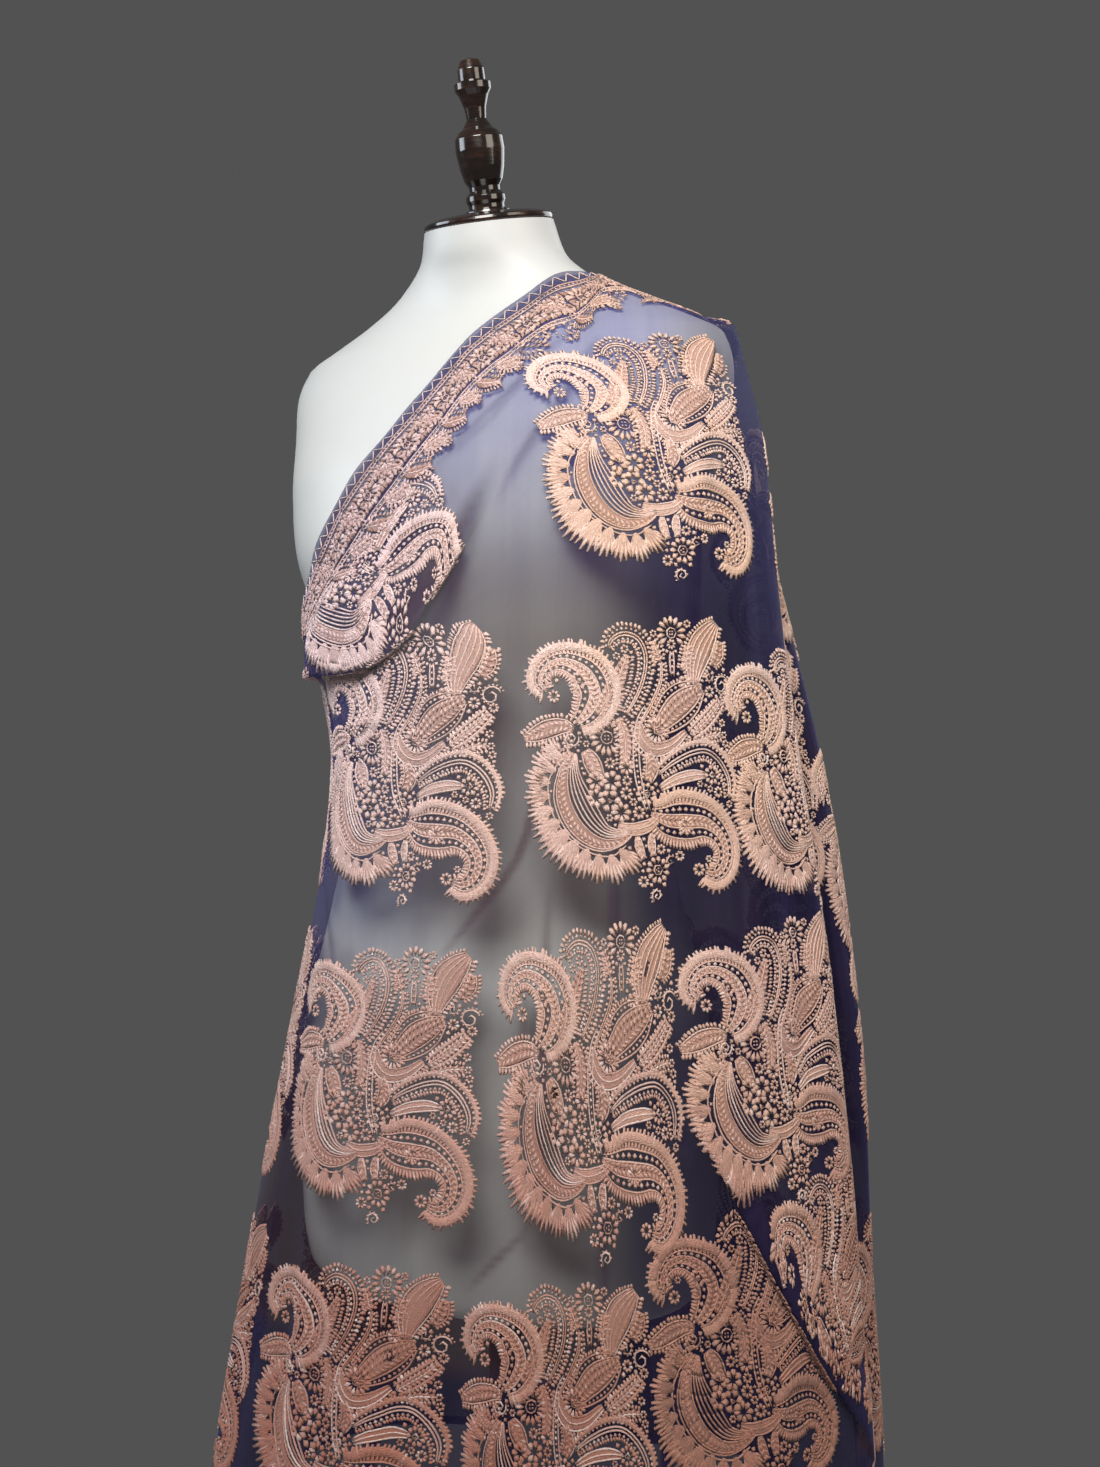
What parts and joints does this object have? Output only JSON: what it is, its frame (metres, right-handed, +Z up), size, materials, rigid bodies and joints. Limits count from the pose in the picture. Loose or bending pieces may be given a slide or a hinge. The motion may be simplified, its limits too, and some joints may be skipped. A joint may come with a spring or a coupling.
{
  "type": "embroidered dupatta worn on a limbless dress form",
  "caption": "Sheer navy dupatta with raised paisley bouquets and a worked border, wrapped over the left shoulder of a white limbless dress form on a round stand.",
  "frame": {"origin": "centre of the round base's underside, on the floor", "axes": "+Z up, +X towards the form's left shoulder, which carries the cloth, -Y the way the form faces"},
  "size_m": [0.5484, 0.4491, 1.5984],
  "materials": {
    "net": "sheer crisp organza, fine weave",
    "embroidery": "raised satin-stitch thread",
    "form_skin": "smooth satin",
    "lacquer": "turned wood under black gloss lacquer",
    "stand_metal": "black satin paint"
  },
  "bodies": {
    "root": {"dupatta_front": "net", "dupatta_fall": "net", "dupatta_back": "net", "border_front": "embroidery", "border_fall": "embroidery", "border_back": "embroidery", "form_torso": "form_skin", "neck_cap": "lacquer", "neck_finial": "lacquer", "stand_flange": "stand_metal", "stand_pole": "stand_metal", "stand_collar": "stand_metal", "stand_base": "stand_metal"}
  },
  "joints": []
}
